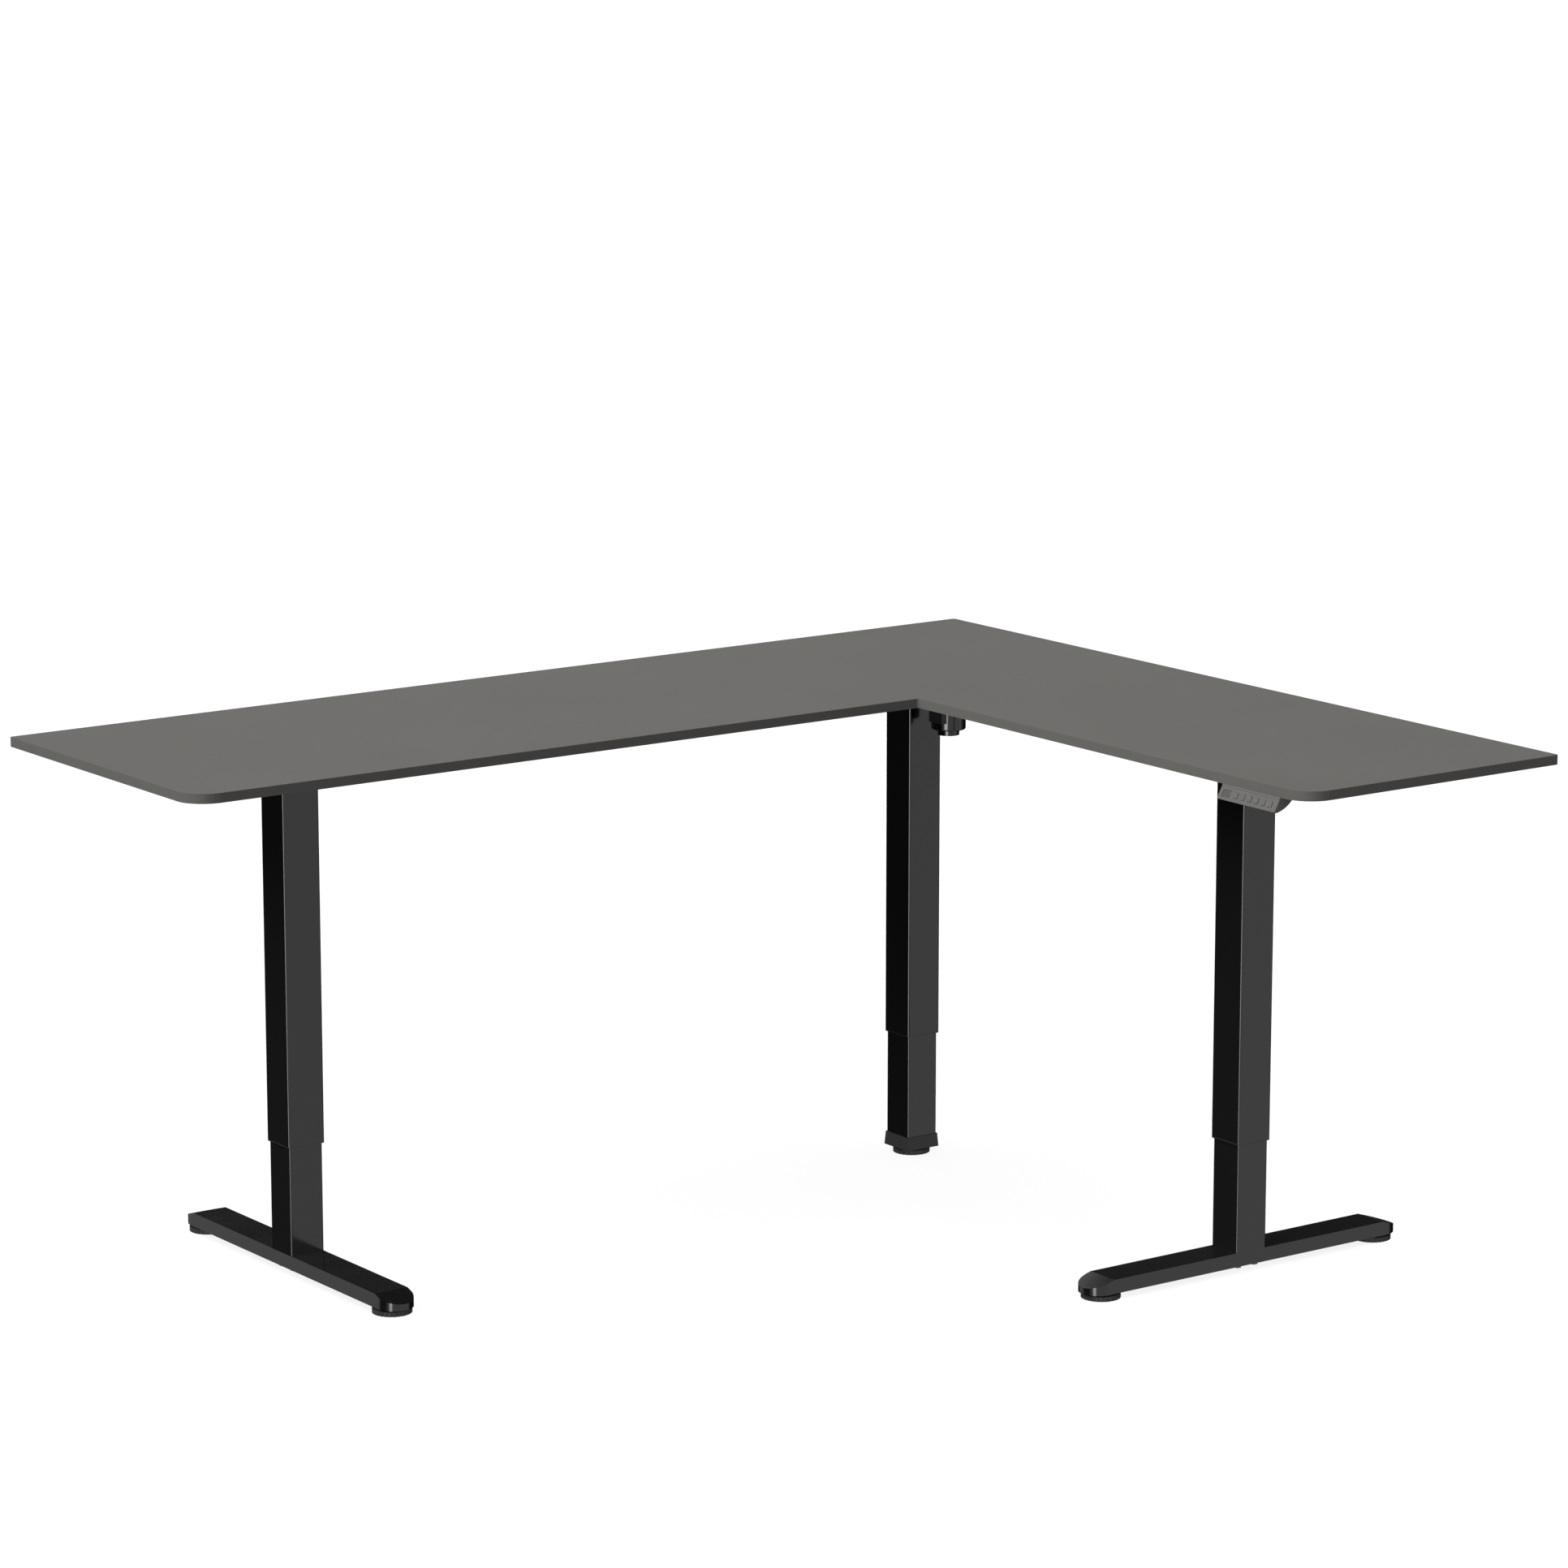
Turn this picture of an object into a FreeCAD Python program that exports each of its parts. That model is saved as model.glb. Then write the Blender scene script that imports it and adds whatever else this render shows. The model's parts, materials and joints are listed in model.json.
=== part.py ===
import FreeCAD, Part
import math
import os

# Height adjustable standing desk: an L-shaped board on three lifting columns.
# Millimetres. +Z is up, +X runs along the long edge towards the corner, +Y towards the back.
# The origin is the middle of the overall footprint, on the floor.
# The back corner of the board is the place that everything else is set out from.

# ---- driving dimensions: board ----
DESK_HEIGHT = 900.0
DESK_LENGTH = 1955.0
RETURN_LENGTH = 1600.0
MAIN_DEPTH = 602.0
RETURN_DEPTH = 540.0
BOARD_THICK = 16.0
EDGE_BAND_THICK = 1.0
USER_CORNER_RADIUS = 50.0
BACK_CORNER_RADIUS = 5.0
INNER_CORNER_RADIUS = 4.0

# ---- driving dimensions: columns ----
COLUMN_FROM_BACK = 291.0
COLUMN_FROM_RIGHT = 314.0
LEFT_COLUMN_FROM_LEFT_END = 358.0
RIGHT_COLUMN_FROM_NEAR_END = 404.0
OUTER_TUBE = 70.0
OUTER_WALL = 1.8
OUTER_RADIUS = 4.0
TUBE_CLEARANCE = 1.2
INNER_WALL = 2.0
INNER_RADIUS = 3.5
MOUTH_HEIGHT = 221.0
COLLAR_HEIGHT = 3.0
COLLAR_CLEARANCE = 0.3
INNER_TUBE_TOP = 630.0
SPINDLE_DIAMETER = 12.0
SPINDLE_LENGTH = 585.0
SPINDLE_ABOVE_BEARING = 20.0
SPINDLE_FLANGE_DIAMETER = 20.0
SPINDLE_FLANGE_THICK = 5.0
BEARING_DIAMETER = 28.0
NUT_HEIGHT = 30.0
RUNNING_FIT = 0.05
MOVING_GAP = 0.3

# ---- driving dimensions: feet and glides ----
FOOT_LENGTH = 670.0
FOOT_WIDTH = 63.0
FOOT_HEIGHT = 24.0
FOOT_WALL = 3.0
FOOT_FACET_LENGTH = 42.0
FOOT_FACET_DROP = 13.0
FOOT_BLOCK_LENGTH = 120.0
GLIDE_SPACING = 592.0
GLIDE_DIAMETER = 66.0
GLIDE_HEIGHT = 11.0
GLIDE_NECK_DIAMETER = 54.0
GLIDE_RIBS = 28
GLIDE_RIB_GROOVE = 1.2
GLIDE_SHOULDER = 8.0
GLIDE_STUD_DIAMETER = 10.0
GLIDE_STUD_LENGTH = 18.0
GLIDE_BOSS_DIAMETER = 22.0
BASE_PLATE_THICK = 6.0
FOOT_BOLT_DIAMETER = 8.0
FOOT_BOLT_SPACING = 36.0
FOOT_BOLT_HEAD = 5.0
FOOT_BOLT_HEAD_RADIUS = 6.8
CAP_HEIGHT = 24.0
CAP_WALL_TOP = 1.0
CAP_WALL_BOTTOM = 2.75
CAP_SOCKET_DEPTH = 16.0

# ---- driving dimensions: frame under the board ----
PLATE_THICK = 5.0
PLATE_MARGIN = 17.0
RAIL_HEIGHT = 40.0
RAIL_WIDTH = 20.0
RAIL_WALL = 2.0
RAIL_GAP = 3.0
BRACKET_LENGTH = 300.0
BRACKET_WIDTH = 40.0
BRACKET_FLANGE = 25.0
BRACKET_FLANGE_THICK = 3.0
SCREW_DIAMETER = 4.0
SCREW_DEPTH = 12.0
SCREW_HEAD_DIAMETER = 8.0
SCREW_HEAD_THICK = 3.0
SCREW_EDGE = 9.0
BOLT_DIAMETER = 6.0
BOLT_HEAD_DIAMETER = 10.0
BOLT_HEAD_THICK = 5.0
BOLT_ACCESS_DIAMETER = 12.0
HOLE_CLEARANCE = 0.1

# ---- driving dimensions: drive units ----
GEARBOX_OVERHANG = 2.0
GEARBOX_WALL = 3.0
GEARBOX_FLOOR = 6.0
GEARBOX_BOSS_DIAMETER = 16.0
GEARBOX_BOSS_FROM_TUBE = 12.5
GEARBOX_BOSS_FROM_SIDE = 13.0
GEARBOX_COUNTERBORE = 10.0
MOTOR_FROM_COLUMN = 102.0
MOTOR_DIAMETER = 61.0
MOTOR_EDGE_RADIUS = 3.0
MOTOR_BOSS_DIAMETER = 38.5
MOTOR_BOSS_HEIGHT = 10.0
CORNER_MOTOR_DROP = 94.0
FOOT_MOTOR_DROP = 78.0
CONNECTOR_COVER_SIZE = (37.0, 32.0)
CONNECTOR_COVER_BACK = 15.0
CONNECTOR_COVER_ABOVE_MOTOR_END = 14.0

# ---- driving dimensions: control box ----
BOX_SIZE = (260.0, 100.0)
BOX_CASE_HEIGHT = 35.0
BOX_WALL = 2.0
BOX_LID_THICK = 3.0
BOX_EAR = 14.0
BOX_FROM_BACK = 120.0
BOX_FROM_RIGHT = 800.0
POST_HEIGHT = 8.0
POST_DIAMETER = 6.0
POST_FROM_END = 42.0
POST_FROM_SIDE = 14.0
CIRCUIT_MARGIN = 1.0
CIRCUIT_THICK = 1.6
INLET_SIZE = (22.0, 27.0, 20.0)
INLET_WALL = 2.0
INLET_PIN_LENGTH = 8.0
INLET_PIN_SIZE = (2.0, 4.0)
INLET_PINS = ((-7.0, -1.5), (0.0, 2.5), (7.0, -1.5))
SOCKET_BLOCK_SIZE = (16.0, 80.0, 16.0)
SOCKET_PORT = (11.0, 10.0)
SOCKET_PORT_DEPTH = 12.0
SOCKET_PITCH = 18.0
SOCKET_COUNT = 4

# ---- driving dimensions: handset ----
HANDSET_WIDTH = 139.0
HANDSET_FROM_NEAR_END = 59.0
HANDSET_FACE_OUT = 12.0
HANDSET_FACE_DROP = 22.0
HANDSET_TOP_DEPTH = 28.0
HANDSET_LIP = 4.0
HANDSET_LIP_DROP = 1.5
HANDSET_BELLY = (0.45, 0.72)
HANDSET_BACK_EDGE = 2.0
HANDSET_TAB = 16.0
INSET_AT_LIP = (1.3, 0.6)
HANDSET_WALL = 2.0
HANDSET_PROUD = 1.0
DISPLAY_SIZE = (18.0, 12.0)
DISPLAY_AT = 17.0
DISPLAY_RECESS = 0.4
DISPLAY_THICK = 1.2
KEY_SIZE = (9.0, 10.0)
KEY_FIRST_AT = 40.0
KEY_COUNT = 6
KEY_PROUD = 1.0
FACE_CUT_REACH = 1.0
FACE_CENTRE_SHARE = 0.54

# ---- places worked out from the driving dimensions ----
INNER_TUBE = OUTER_TUBE - 2 * (OUTER_WALL + TUBE_CLEARANCE)
CAP_TOP = INNER_TUBE + 2 * CAP_WALL_TOP
CAP_BOTTOM = INNER_TUBE + 2 * CAP_WALL_BOTTOM
GEARBOX_WIDTH = OUTER_TUBE + GEARBOX_OVERHANG
RAIL_OFFSET = GEARBOX_WIDTH / 2 + RAIL_GAP + RAIL_WIDTH / 2
PLATE_HALF_WIDTH = RAIL_OFFSET + RAIL_WIDTH / 2 + PLATE_MARGIN
GEARBOX_BOSS_AT = (
    OUTER_TUBE / 2 + GEARBOX_BOSS_FROM_TUBE,
    GEARBOX_WIDTH / 2 - GEARBOX_BOSS_FROM_SIDE,
)
CONNECTOR_COVER_START = MOTOR_FROM_COLUMN - CONNECTOR_COVER_BACK
KEY_PITCH = (HANDSET_WIDTH - KEY_FIRST_AT) / KEY_COUNT
FOOT_REACH = max(FOOT_LENGTH / 2, GLIDE_SPACING / 2 + GLIDE_DIAMETER / 2)
FOOT_PAST_RIGHT = max(0.0, FOOT_REACH - COLUMN_FROM_RIGHT)
FOOT_PAST_BACK = max(0.0, FOOT_REACH - COLUMN_FROM_BACK)
RIGHT = (DESK_LENGTH - FOOT_PAST_RIGHT) / 2
BACK = (RETURN_LENGTH - FOOT_PAST_BACK) / 2
LEFT = RIGHT - DESK_LENGTH
NEAR = BACK - RETURN_LENGTH
INNER_X = RIGHT - RETURN_DEPTH
INNER_Y = BACK - MAIN_DEPTH
UNDERSIDE = DESK_HEIGHT - BOARD_THICK
PLATE_BOTTOM = UNDERSIDE - PLATE_THICK
HEAD_BOTTOM = PLATE_BOTTOM - RAIL_HEIGHT
FOOT_TOP = GLIDE_HEIGHT + FOOT_HEIGHT
CAP_TOP_Z = GLIDE_HEIGHT + CAP_HEIGHT

CORNER_AT = (RIGHT - COLUMN_FROM_RIGHT, BACK - COLUMN_FROM_BACK)
LEFT_AT = (LEFT + LEFT_COLUMN_FROM_LEFT_END, CORNER_AT[1])
RIGHT_AT = (CORNER_AT[0], NEAR + RIGHT_COLUMN_FROM_NEAR_END)

# name, place, direction in which the drive unit reaches out (degrees), motor end below the board
COLUMNS = (
    ("left", LEFT_AT, 90.0, FOOT_MOTOR_DROP),
    ("corner", CORNER_AT, -90.0, CORNER_MOTOR_DROP),
    ("right", RIGHT_AT, 0.0, FOOT_MOTOR_DROP),
)
# name, place, direction of the foot's length (degrees)
FEET = (
    ("left", LEFT_AT, 90.0),
    ("right", RIGHT_AT, 0.0),
)
UP = FreeCAD.Vector(0, 0, 1)


def vec(x, y, z):
    return FreeCAD.Vector(x, y, z)


def box(x0, x1, y0, y1, z0, z1):
    return Part.makeBox(x1 - x0, y1 - y0, z1 - z0, vec(x0, y0, z0))


def rod(diameter, x, y, z0, z1):
    return Part.makeCylinder(diameter / 2, z1 - z0, vec(x, y, z0))


def place(shape, at, angle=0.0):
    """A copy of a shape drawn about the Z axis, turned and moved to a place on the plan."""
    moved = shape.copy()
    moved.rotate(vec(0, 0, 0), UP, angle)
    moved.translate(vec(at[0], at[1], 0))
    return moved


def plan_point(at, angle, along, across):
    """Where a point of a turned local plan lies on the desk's plan."""
    a = math.radians(angle)
    return (
        at[0] + along * math.cos(a) - across * math.sin(a),
        at[1] + along * math.sin(a) + across * math.cos(a),
    )


def joined(shapes):
    whole = shapes[0]
    for shape in shapes[1:]:
        whole = whole.fuse(shape)
    return whole.removeSplitter()


def export(name, shape):
    shape.exportStep("parts/" + name + ".step")


def export_group(name, shapes):
    export(name, Part.makeCompound(shapes))


def rounded_outline(corners, z):
    """A closed wire through (x, y, radius) corners, each rounded by a tangent arc."""
    edges = []
    starts = []
    ends = []
    count = len(corners)
    for i in range(count):
        here = vec(corners[i][0], corners[i][1], z)
        before = vec(corners[i - 1][0], corners[i - 1][1], z)
        after = vec(corners[(i + 1) % count][0], corners[(i + 1) % count][1], z)
        radius = corners[i][2]
        back = (before - here).normalize()
        ahead = (after - here).normalize()
        half = math.acos(max(-1.0, min(1.0, back.dot(ahead)))) / 2
        reach = radius / math.tan(half)
        first = here + back * reach
        last = here + ahead * reach
        bisector = (back + ahead).normalize()
        middle = here + bisector * (radius / math.sin(half) - radius)
        starts.append(first)
        ends.append(last)
        edges.append(Part.Arc(first, middle, last).toShape())
    lines = []
    for i in range(count):
        lines.append(Part.makeLine(ends[i], starts[(i + 1) % count]))
    ordered = []
    for i in range(count):
        ordered.append(edges[i])
        ordered.append(lines[i])
    return Part.Wire(ordered)


def prism(corners, z0, z1):
    return Part.Face(rounded_outline(corners, z0)).extrude(vec(0, 0, z1 - z0))


def square_corners(side, radius):
    h = side / 2
    return [(-h, -h, radius), (h, -h, radius), (h, h, radius), (-h, h, radius)]


def square_bar(side, radius, z0, z1):
    return prism(square_corners(side, radius), z0, z1)


def square_tube(side, radius, wall, z0, z1):
    inside = square_bar(side - 2 * wall, radius - wall, z0, z1)
    return square_bar(side, radius, z0, z1).cut(inside)


def stadium(length, width, z0, z1):
    """A bar along X with half-round ends, centred on the Z axis."""
    straight = length / 2 - width / 2
    middle = box(-straight, straight, -width / 2, width / 2, z0, z1)
    ends = [rod(width, -straight, 0, z0, z1), rod(width, straight, 0, z0, z1)]
    return joined([middle] + ends)


# ---- fasteners ----
def wood_screw(x, y, head_top):
    """A pan-head screw driven up into the board; its head bears on the underside at head_top."""
    head = rod(SCREW_HEAD_DIAMETER, x, y, head_top - SCREW_HEAD_THICK, head_top)
    shank = rod(SCREW_DIAMETER, x, y, head_top, UNDERSIDE + SCREW_DEPTH)
    return joined([head, shank])


def screw_hole(x, y, z0, z1):
    return rod(SCREW_DIAMETER + HOLE_CLEARANCE, x, y, z0, z1)


def frame_bolt(x, y, head_top):
    """A bolt up through a rail or gearbox into the column's head plate."""
    head = rod(BOLT_HEAD_DIAMETER, x, y, head_top - BOLT_HEAD_THICK, head_top)
    shank = rod(BOLT_DIAMETER, x, y, head_top, UNDERSIDE - HOLE_CLEARANCE)
    return joined([head, shank])


def bolt_hole(x, y, z0, z1):
    return rod(BOLT_DIAMETER + HOLE_CLEARANCE, x, y, z0, z1)


# ---- places of the fasteners ----
def plate_screw_places(at, angle):
    far = MOTOR_FROM_COLUMN + GEARBOX_WIDTH / 2 + RAIL_GAP - SCREW_EDGE
    near = -(PLATE_HALF_WIDTH - SCREW_EDGE)
    side = PLATE_HALF_WIDTH - SCREW_EDGE
    places = []
    for along in (near, far):
        for across in (-side, side):
            places.append(plan_point(at, angle, along, across))
    return places


LEFT_BRACKET_X = LEFT_AT[0] - PLATE_HALF_WIDTH - BRACKET_WIDTH
RIGHT_BRACKET_Y = RIGHT_AT[1] - PLATE_HALF_WIDTH - BRACKET_WIDTH


def bracket_screw_places():
    reach = BRACKET_LENGTH / 2 - 2 * SCREW_EDGE
    places = []
    for along in (-reach, 0.0, reach):
        places.append((LEFT_BRACKET_X + BRACKET_WIDTH / 2, LEFT_AT[1] + along))
        places.append((RIGHT_AT[0] + along, RIGHT_BRACKET_Y + BRACKET_WIDTH / 2))
    return places


BOX_X1 = RIGHT - BOX_FROM_RIGHT
BOX_X0 = BOX_X1 - BOX_SIZE[0]
BOX_Y1 = BACK - BOX_FROM_BACK
BOX_Y0 = BOX_Y1 - BOX_SIZE[1]


def box_screw_places():
    places = []
    for x in (BOX_X0 - BOX_EAR / 2, BOX_X1 + BOX_EAR / 2):
        for y in (BOX_Y0 + 2 * SCREW_EDGE, BOX_Y1 - 2 * SCREW_EDGE):
            places.append((x, y))
    return places


HANDSET_Y0 = NEAR + HANDSET_FROM_NEAR_END
HANDSET_Y1 = HANDSET_Y0 + HANDSET_WIDTH
HANDSET_X = INNER_X - HANDSET_PROUD


def handset_screw_places():
    x = HANDSET_X + HANDSET_TOP_DEPTH + HANDSET_TAB / 2
    return [(x, HANDSET_Y0 + 2 * SCREW_EDGE), (x, HANDSET_Y1 - 2 * SCREW_EDGE)]


def all_screws():
    """(x, y, height of the face that the head bears on) of every wood screw."""
    screws = []
    for _, at, angle, _ in COLUMNS:
        for x, y in plate_screw_places(at, angle):
            screws.append((x, y, PLATE_BOTTOM))
    for x, y in bracket_screw_places():
        screws.append((x, y, PLATE_BOTTOM))
    for x, y in box_screw_places():
        screws.append((x, y, UNDERSIDE - BOX_LID_THICK))
    for x, y in handset_screw_places():
        screws.append((x, y, UNDERSIDE - HANDSET_WALL))
    return screws


# ---- rails: name, runs along, its centre line, from, to ----
GEARBOX_HALF = GEARBOX_WIDTH / 2
PLATE_OUT = MOTOR_FROM_COLUMN + GEARBOX_HALF + RAIL_GAP
FRONT_Y = CORNER_AT[1] - RAIL_OFFSET
REAR_Y = CORNER_AT[1] + RAIL_OFFSET
RETURN_IN_X = CORNER_AT[0] - RAIL_OFFSET
RETURN_OUT_X = CORNER_AT[0] + RAIL_OFFSET
RAIL_HALF = RAIL_WIDTH / 2
RAIL_END = RAIL_OFFSET + RAIL_HALF
RAILS = (
    (
        "main_front_rail",
        "x",
        FRONT_Y,
        LEFT_AT[0] - RAIL_END,
        CORNER_AT[0] - GEARBOX_HALF - RAIL_GAP,
    ),
    (
        "main_rear_rail",
        "x",
        REAR_Y,
        LEFT_AT[0] + GEARBOX_HALF + RAIL_GAP,
        RETURN_OUT_X - RAIL_HALF - RAIL_GAP,
    ),
    (
        "return_inner_rail",
        "y",
        RETURN_IN_X,
        RIGHT_AT[1] - RAIL_END,
        FRONT_Y - RAIL_HALF - RAIL_GAP,
    ),
    (
        "return_outer_rail",
        "y",
        RETURN_OUT_X,
        RIGHT_AT[1] + GEARBOX_HALF + RAIL_GAP,
        REAR_Y + RAIL_HALF,
    ),
)


def plate_span(at, angle, axis):
    """The head plate's extent along X or Y of the desk's plan."""
    index = 0 if axis == "x" else 1
    values = []
    for along in (-PLATE_HALF_WIDTH, PLATE_OUT):
        for across in (-PLATE_HALF_WIDTH, PLATE_HALF_WIDTH):
            values.append(plan_point(at, angle, along, across)[index])
    return min(values), max(values)


def rail_bolt_places(rail):
    """Two bolts wherever a rail lies under a head plate."""
    _, axis, line, start, end = rail
    other = "y" if axis == "x" else "x"
    places = []
    for _, at, angle, _ in COLUMNS:
        low, high = plate_span(at, angle, axis)
        side_low, side_high = plate_span(at, angle, other)
        a = max(low, start)
        b = min(high, end)
        if side_low < line < side_high and b - a > 2 * BOLT_ACCESS_DIAMETER:
            for share in (0.25, 0.75):
                along = a + share * (b - a)
                places.append((along, line) if axis == "x" else (line, along))
    return places


def gearbox_bolt_places(at, angle):
    along, across = GEARBOX_BOSS_AT
    return [plan_point(at, angle, along, side * across) for side in (-1, 1)]


RAIL_BOLT_SEAT = PLATE_BOTTOM - RAIL_WALL
GEARBOX_BOLT_SEAT = HEAD_BOTTOM + GEARBOX_COUNTERBORE


def all_bolts():
    """(x, y, height of the face that the head bears on) of every frame bolt."""
    bolts = []
    for rail in RAILS:
        for x, y in rail_bolt_places(rail):
            bolts.append((x, y, RAIL_BOLT_SEAT))
    for _, at, angle, _ in COLUMNS:
        for x, y in gearbox_bolt_places(at, angle):
            bolts.append((x, y, GEARBOX_BOLT_SEAT))
    return bolts


# ---- board ----
def board_corners(inset):
    """The L outline, drawn anticlockwise, set in from the finished edge by inset."""
    outer = BACK_CORNER_RADIUS - inset
    user = USER_CORNER_RADIUS - inset
    inner = INNER_CORNER_RADIUS + inset
    return [
        (LEFT + inset, INNER_Y + inset, user),
        (INNER_X + inset, INNER_Y + inset, inner),
        (INNER_X + inset, NEAR + inset, user),
        (RIGHT - inset, NEAR + inset, outer),
        (RIGHT - inset, BACK - inset, outer),
        (LEFT + inset, BACK - inset, outer),
    ]


def make_board():
    core = prism(board_corners(EDGE_BAND_THICK), UNDERSIDE, DESK_HEIGHT)
    pilots = []
    for x, y, _ in all_screws():
        pilots.append(screw_hole(x, y, UNDERSIDE, UNDERSIDE + SCREW_DEPTH))
    export("desktop_board", core.cut(Part.makeCompound(pilots)))
    whole = prism(board_corners(0.0), UNDERSIDE, DESK_HEIGHT)
    solid_core = prism(board_corners(EDGE_BAND_THICK), UNDERSIDE, DESK_HEIGHT)
    export("edge_band", whole.cut(solid_core))


# ---- frame under the board ----
def make_head_plates():
    for name, at, angle, _ in COLUMNS:
        half = PLATE_HALF_WIDTH
        plate = box(-half, PLATE_OUT, -half, half, PLATE_BOTTOM, UNDERSIDE)
        plate = place(plate, at, angle)
        holes = []
        for x, y in plate_screw_places(at, angle):
            holes.append(screw_hole(x, y, PLATE_BOTTOM, UNDERSIDE))
        for x, y, _ in all_bolts():
            holes.append(bolt_hole(x, y, PLATE_BOTTOM, UNDERSIDE))
        export(name + "_head_plate", plate.cut(Part.makeCompound(holes)))


def make_brackets():
    half = BRACKET_LENGTH / 2
    holes = []
    for x, y in bracket_screw_places():
        holes.append(screw_hole(x, y, PLATE_BOTTOM, UNDERSIDE))
    holes = Part.makeCompound(holes)
    x0 = LEFT_BRACKET_X
    y0, y1 = LEFT_AT[1] - half, LEFT_AT[1] + half
    flat = box(x0, x0 + BRACKET_WIDTH, y0, y1, PLATE_BOTTOM, UNDERSIDE)
    flange = box(x0, x0 + BRACKET_FLANGE_THICK, y0, y1, UNDERSIDE - BRACKET_FLANGE, UNDERSIDE)
    export("left_side_bracket", joined([flat, flange]).cut(holes))
    y0 = RIGHT_BRACKET_Y
    x0, x1 = RIGHT_AT[0] - half, RIGHT_AT[0] + half
    flat = box(x0, x1, y0, y0 + BRACKET_WIDTH, PLATE_BOTTOM, UNDERSIDE)
    flange = box(x0, x1, y0, y0 + BRACKET_FLANGE_THICK, UNDERSIDE - BRACKET_FLANGE, UNDERSIDE)
    export("right_side_bracket", joined([flat, flange]).cut(holes))


def make_rails():
    for rail in RAILS:
        name, axis, line, start, end = rail
        low, high = line - RAIL_HALF, line + RAIL_HALF
        w = RAIL_WALL
        if axis == "x":
            bar = box(start, end, low, high, HEAD_BOTTOM, PLATE_BOTTOM)
            bore = box(start, end, low + w, high - w, HEAD_BOTTOM + w, PLATE_BOTTOM - w)
        else:
            bar = box(low, high, start, end, HEAD_BOTTOM, PLATE_BOTTOM)
            bore = box(low + w, high - w, start, end, HEAD_BOTTOM + w, PLATE_BOTTOM - w)
        bar = bar.cut(bore)
        for x, y in rail_bolt_places(rail):
            bar = bar.cut(bolt_hole(x, y, RAIL_BOLT_SEAT, PLATE_BOTTOM))
            bar = bar.cut(rod(BOLT_ACCESS_DIAMETER, x, y, HEAD_BOTTOM, HEAD_BOTTOM + w))
        export(name, bar)


def make_fasteners():
    export_group("wood_screws", [wood_screw(*screw) for screw in all_screws()])
    export_group("frame_bolts", [frame_bolt(*bolt) for bolt in all_bolts()])


# ---- columns ----
def make_outer_tubes():
    tube = square_tube(
        OUTER_TUBE, OUTER_RADIUS, OUTER_WALL, MOUTH_HEIGHT + COLLAR_HEIGHT, HEAD_BOTTOM
    )
    opening = INNER_TUBE + 2 * COLLAR_CLEARANCE
    collar = square_bar(OUTER_TUBE, OUTER_RADIUS, MOUTH_HEIGHT, MOUTH_HEIGHT + COLLAR_HEIGHT)
    collar = collar.cut(
        square_bar(opening, INNER_RADIUS, MOUTH_HEIGHT, MOUTH_HEIGHT + COLLAR_HEIGHT)
    )
    collars = []
    for name, at, _, _ in COLUMNS:
        export(name + "_outer_tube", place(tube, at))
        collars.append(place(collar, at))
    export_group("tube_mouth_collars", collars)


def make_gearbox():
    """An open-topped casting from the spindle's axis to the motor's, closed by the head plate."""
    length = MOTOR_FROM_COLUMN + GEARBOX_WIDTH
    shift = vec(MOTOR_FROM_COLUMN / 2, 0, 0)
    body = stadium(length, GEARBOX_WIDTH, HEAD_BOTTOM, PLATE_BOTTOM)
    floor = HEAD_BOTTOM + GEARBOX_FLOOR
    wall = 2 * GEARBOX_WALL
    cavity = stadium(length - wall, GEARBOX_WIDTH - wall, floor, PLATE_BOTTOM)
    body.translate(shift)
    cavity.translate(shift)
    body = body.cut(cavity)
    along, across = GEARBOX_BOSS_AT
    for side in (-1, 1):
        y = side * across
        body = body.fuse(rod(GEARBOX_BOSS_DIAMETER, along, y, HEAD_BOTTOM, PLATE_BOTTOM))
        body = body.cut(bolt_hole(along, y, HEAD_BOTTOM, PLATE_BOTTOM))
        body = body.cut(rod(BOLT_ACCESS_DIAMETER, along, y, HEAD_BOTTOM, GEARBOX_BOLT_SEAT))
    body = body.cut(rod(BEARING_DIAMETER, 0, 0, HEAD_BOTTOM, floor))
    return body.removeSplitter()


def make_motor(drop):
    """A round can with a stepped end, hanging from the far end of the gearbox."""
    end = UNDERSIDE - drop
    can = rod(MOTOR_DIAMETER, MOTOR_FROM_COLUMN, 0, end, HEAD_BOTTOM)
    rim = [e for e in can.Edges if abs(e.BoundBox.ZMax - end) < 0.01 and len(e.Vertexes) == 1]
    can = can.makeFillet(MOTOR_EDGE_RADIUS, rim)
    boss = rod(MOTOR_BOSS_DIAMETER, MOTOR_FROM_COLUMN, 0, end - MOTOR_BOSS_HEIGHT, end)
    return joined([can, boss])


def make_connector_cover(drop):
    length, width = CONNECTOR_COVER_SIZE
    x0 = CONNECTOR_COVER_START
    z0 = UNDERSIDE - drop + CONNECTOR_COVER_ABOVE_MOTOR_END
    block = box(x0, x0 + length, -width, 0, z0, HEAD_BOTTOM)
    return block.cut(rod(MOTOR_DIAMETER, MOTOR_FROM_COLUMN, 0, z0, HEAD_BOTTOM))


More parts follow.
